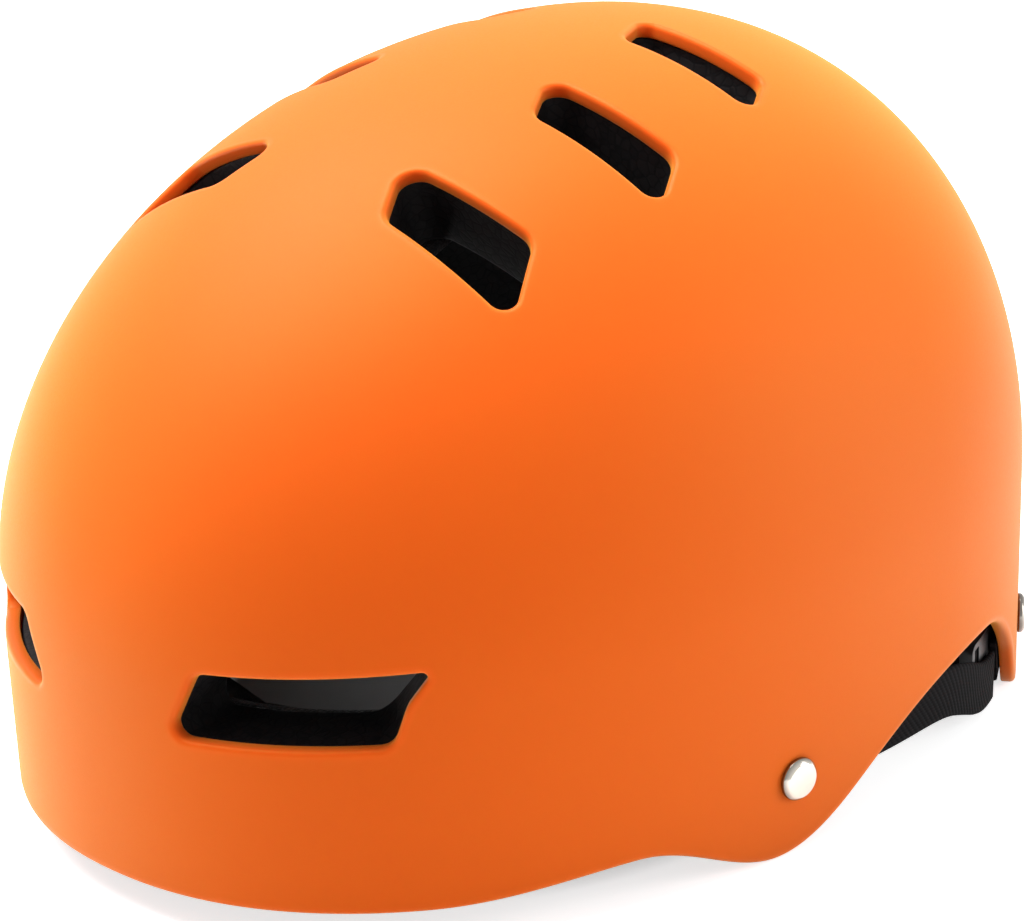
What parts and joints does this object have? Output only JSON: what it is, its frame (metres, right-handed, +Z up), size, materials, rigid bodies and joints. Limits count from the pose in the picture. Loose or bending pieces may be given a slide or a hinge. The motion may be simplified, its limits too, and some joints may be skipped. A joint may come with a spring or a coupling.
{
  "type": "skateboard helmet",
  "caption": "Hard shell skateboard helmet with slanted vents, foam liner, comfort pads, riveted webbing and a side release buckle.",
  "frame": {"origin": "bottom centre of the helmet's box, on the surface it stands on", "axes": "+Z up, -Y forwards over the brow, +X to the wearer's left"},
  "size_m": [0.216, 0.27, 0.17],
  "materials": {
    "shell_orange": "satin matte moulded hard plastic",
    "liner_foam": "beaded black impact foam",
    "pad_fabric": "brushed knit over soft foam",
    "hook_patch": "hook and loop patch",
    "rivet_nickel": "satin nickel plate",
    "webbing": "twill woven webbing",
    "buckle_plastic": "fine textured moulded plastic",
    "pin_steel": "bright wire pin",
    "keeper_rubber": "soft matte rubber"
  },
  "bodies": {
    "helmet": {"outer_shell": "shell_orange", "foam_liner": "liner_foam", "brow_pad": "pad_fabric", "rear_pad": "pad_fabric", "side_pad_left": "pad_fabric", "side_pad_right": "pad_fabric", "crown_pad": "pad_fabric", "hook_dots": "hook_patch", "rivet_front_left": "rivet_nickel", "rivet_front_right": "rivet_nickel", "rivet_rear_left": "rivet_nickel", "rivet_rear_right": "rivet_nickel", "washer_front_left": "rivet_nickel", "washer_front_right": "rivet_nickel", "washer_rear_left": "rivet_nickel", "washer_rear_right": "rivet_nickel", "strap_front_left": "webbing", "strap_front_right": "webbing", "strap_rear_left": "webbing", "strap_rear_right": "webbing", "divider_base_left": "buckle_plastic", "divider_base_right": "buckle_plastic", "divider_pin_left": "pin_steel", "divider_pin_right": "pin_steel", "chin_strap_left": "webbing", "chin_strap_right": "webbing", "strap_tail": "webbing", "buckle_socket": "buckle_plastic", "buckle_plug": "buckle_plastic"},
    "lever_left": {"divider_lever_left": "buckle_plastic"},
    "lever_right": {"divider_lever_right": "buckle_plastic"},
    "keeper": {"strap_keeper": "keeper_rubber"},
    "pad_sleeve": {"chin_pad": "pad_fabric"},
    "arm_upper": {"latch_arm_upper": "buckle_plastic"},
    "arm_lower": {"latch_arm_lower": "buckle_plastic"}
  },
  "joints": [
    {"name": "latch_upper_squeeze", "type": "hinge", "parent": "helmet", "child": "arm_upper", "pos_m": [-0.0063, 0.044, 0.0191], "axis": [0, 1, 0], "range_deg": [0, 12], "stiffness_Nm_per_rad": 0.02},
    {"name": "latch_lower_squeeze", "type": "hinge", "parent": "helmet", "child": "arm_lower", "pos_m": [-0.0063, 0.044, 0.0044], "axis": [0, -1, 0], "range_deg": [0, 12], "stiffness_Nm_per_rad": 0.02},
    {"name": "lever_left_open", "type": "hinge", "parent": "helmet", "child": "lever_left", "pos_m": [0.08418, 0.07494, 0.011], "axis": [0, 0, -1], "range_deg": [0, 95]},
    {"name": "lever_right_open", "type": "hinge", "parent": "helmet", "child": "lever_right", "pos_m": [-0.08418, 0.07494, 0.011], "axis": [0, 0, 1], "range_deg": [0, 95]},
    {"name": "keeper_slide", "type": "hinge", "parent": "helmet", "child": "keeper", "pos_m": [-0.0219, 0.23155, 0.01175], "axis": [0, 0, -1], "range_deg": [-1.4, 4]},
    {"name": "chin_pad_slide", "type": "hinge", "parent": "helmet", "child": "pad_sleeve", "pos_m": [0.0219, 0.23155, 0.01175], "axis": [0, 0, 1], "range_deg": [-3, 1.8]}
  ],
  "couplings": [
    {"joint": "latch_lower_squeeze", "follows": "latch_upper_squeeze", "ratio": 1}
  ]
}
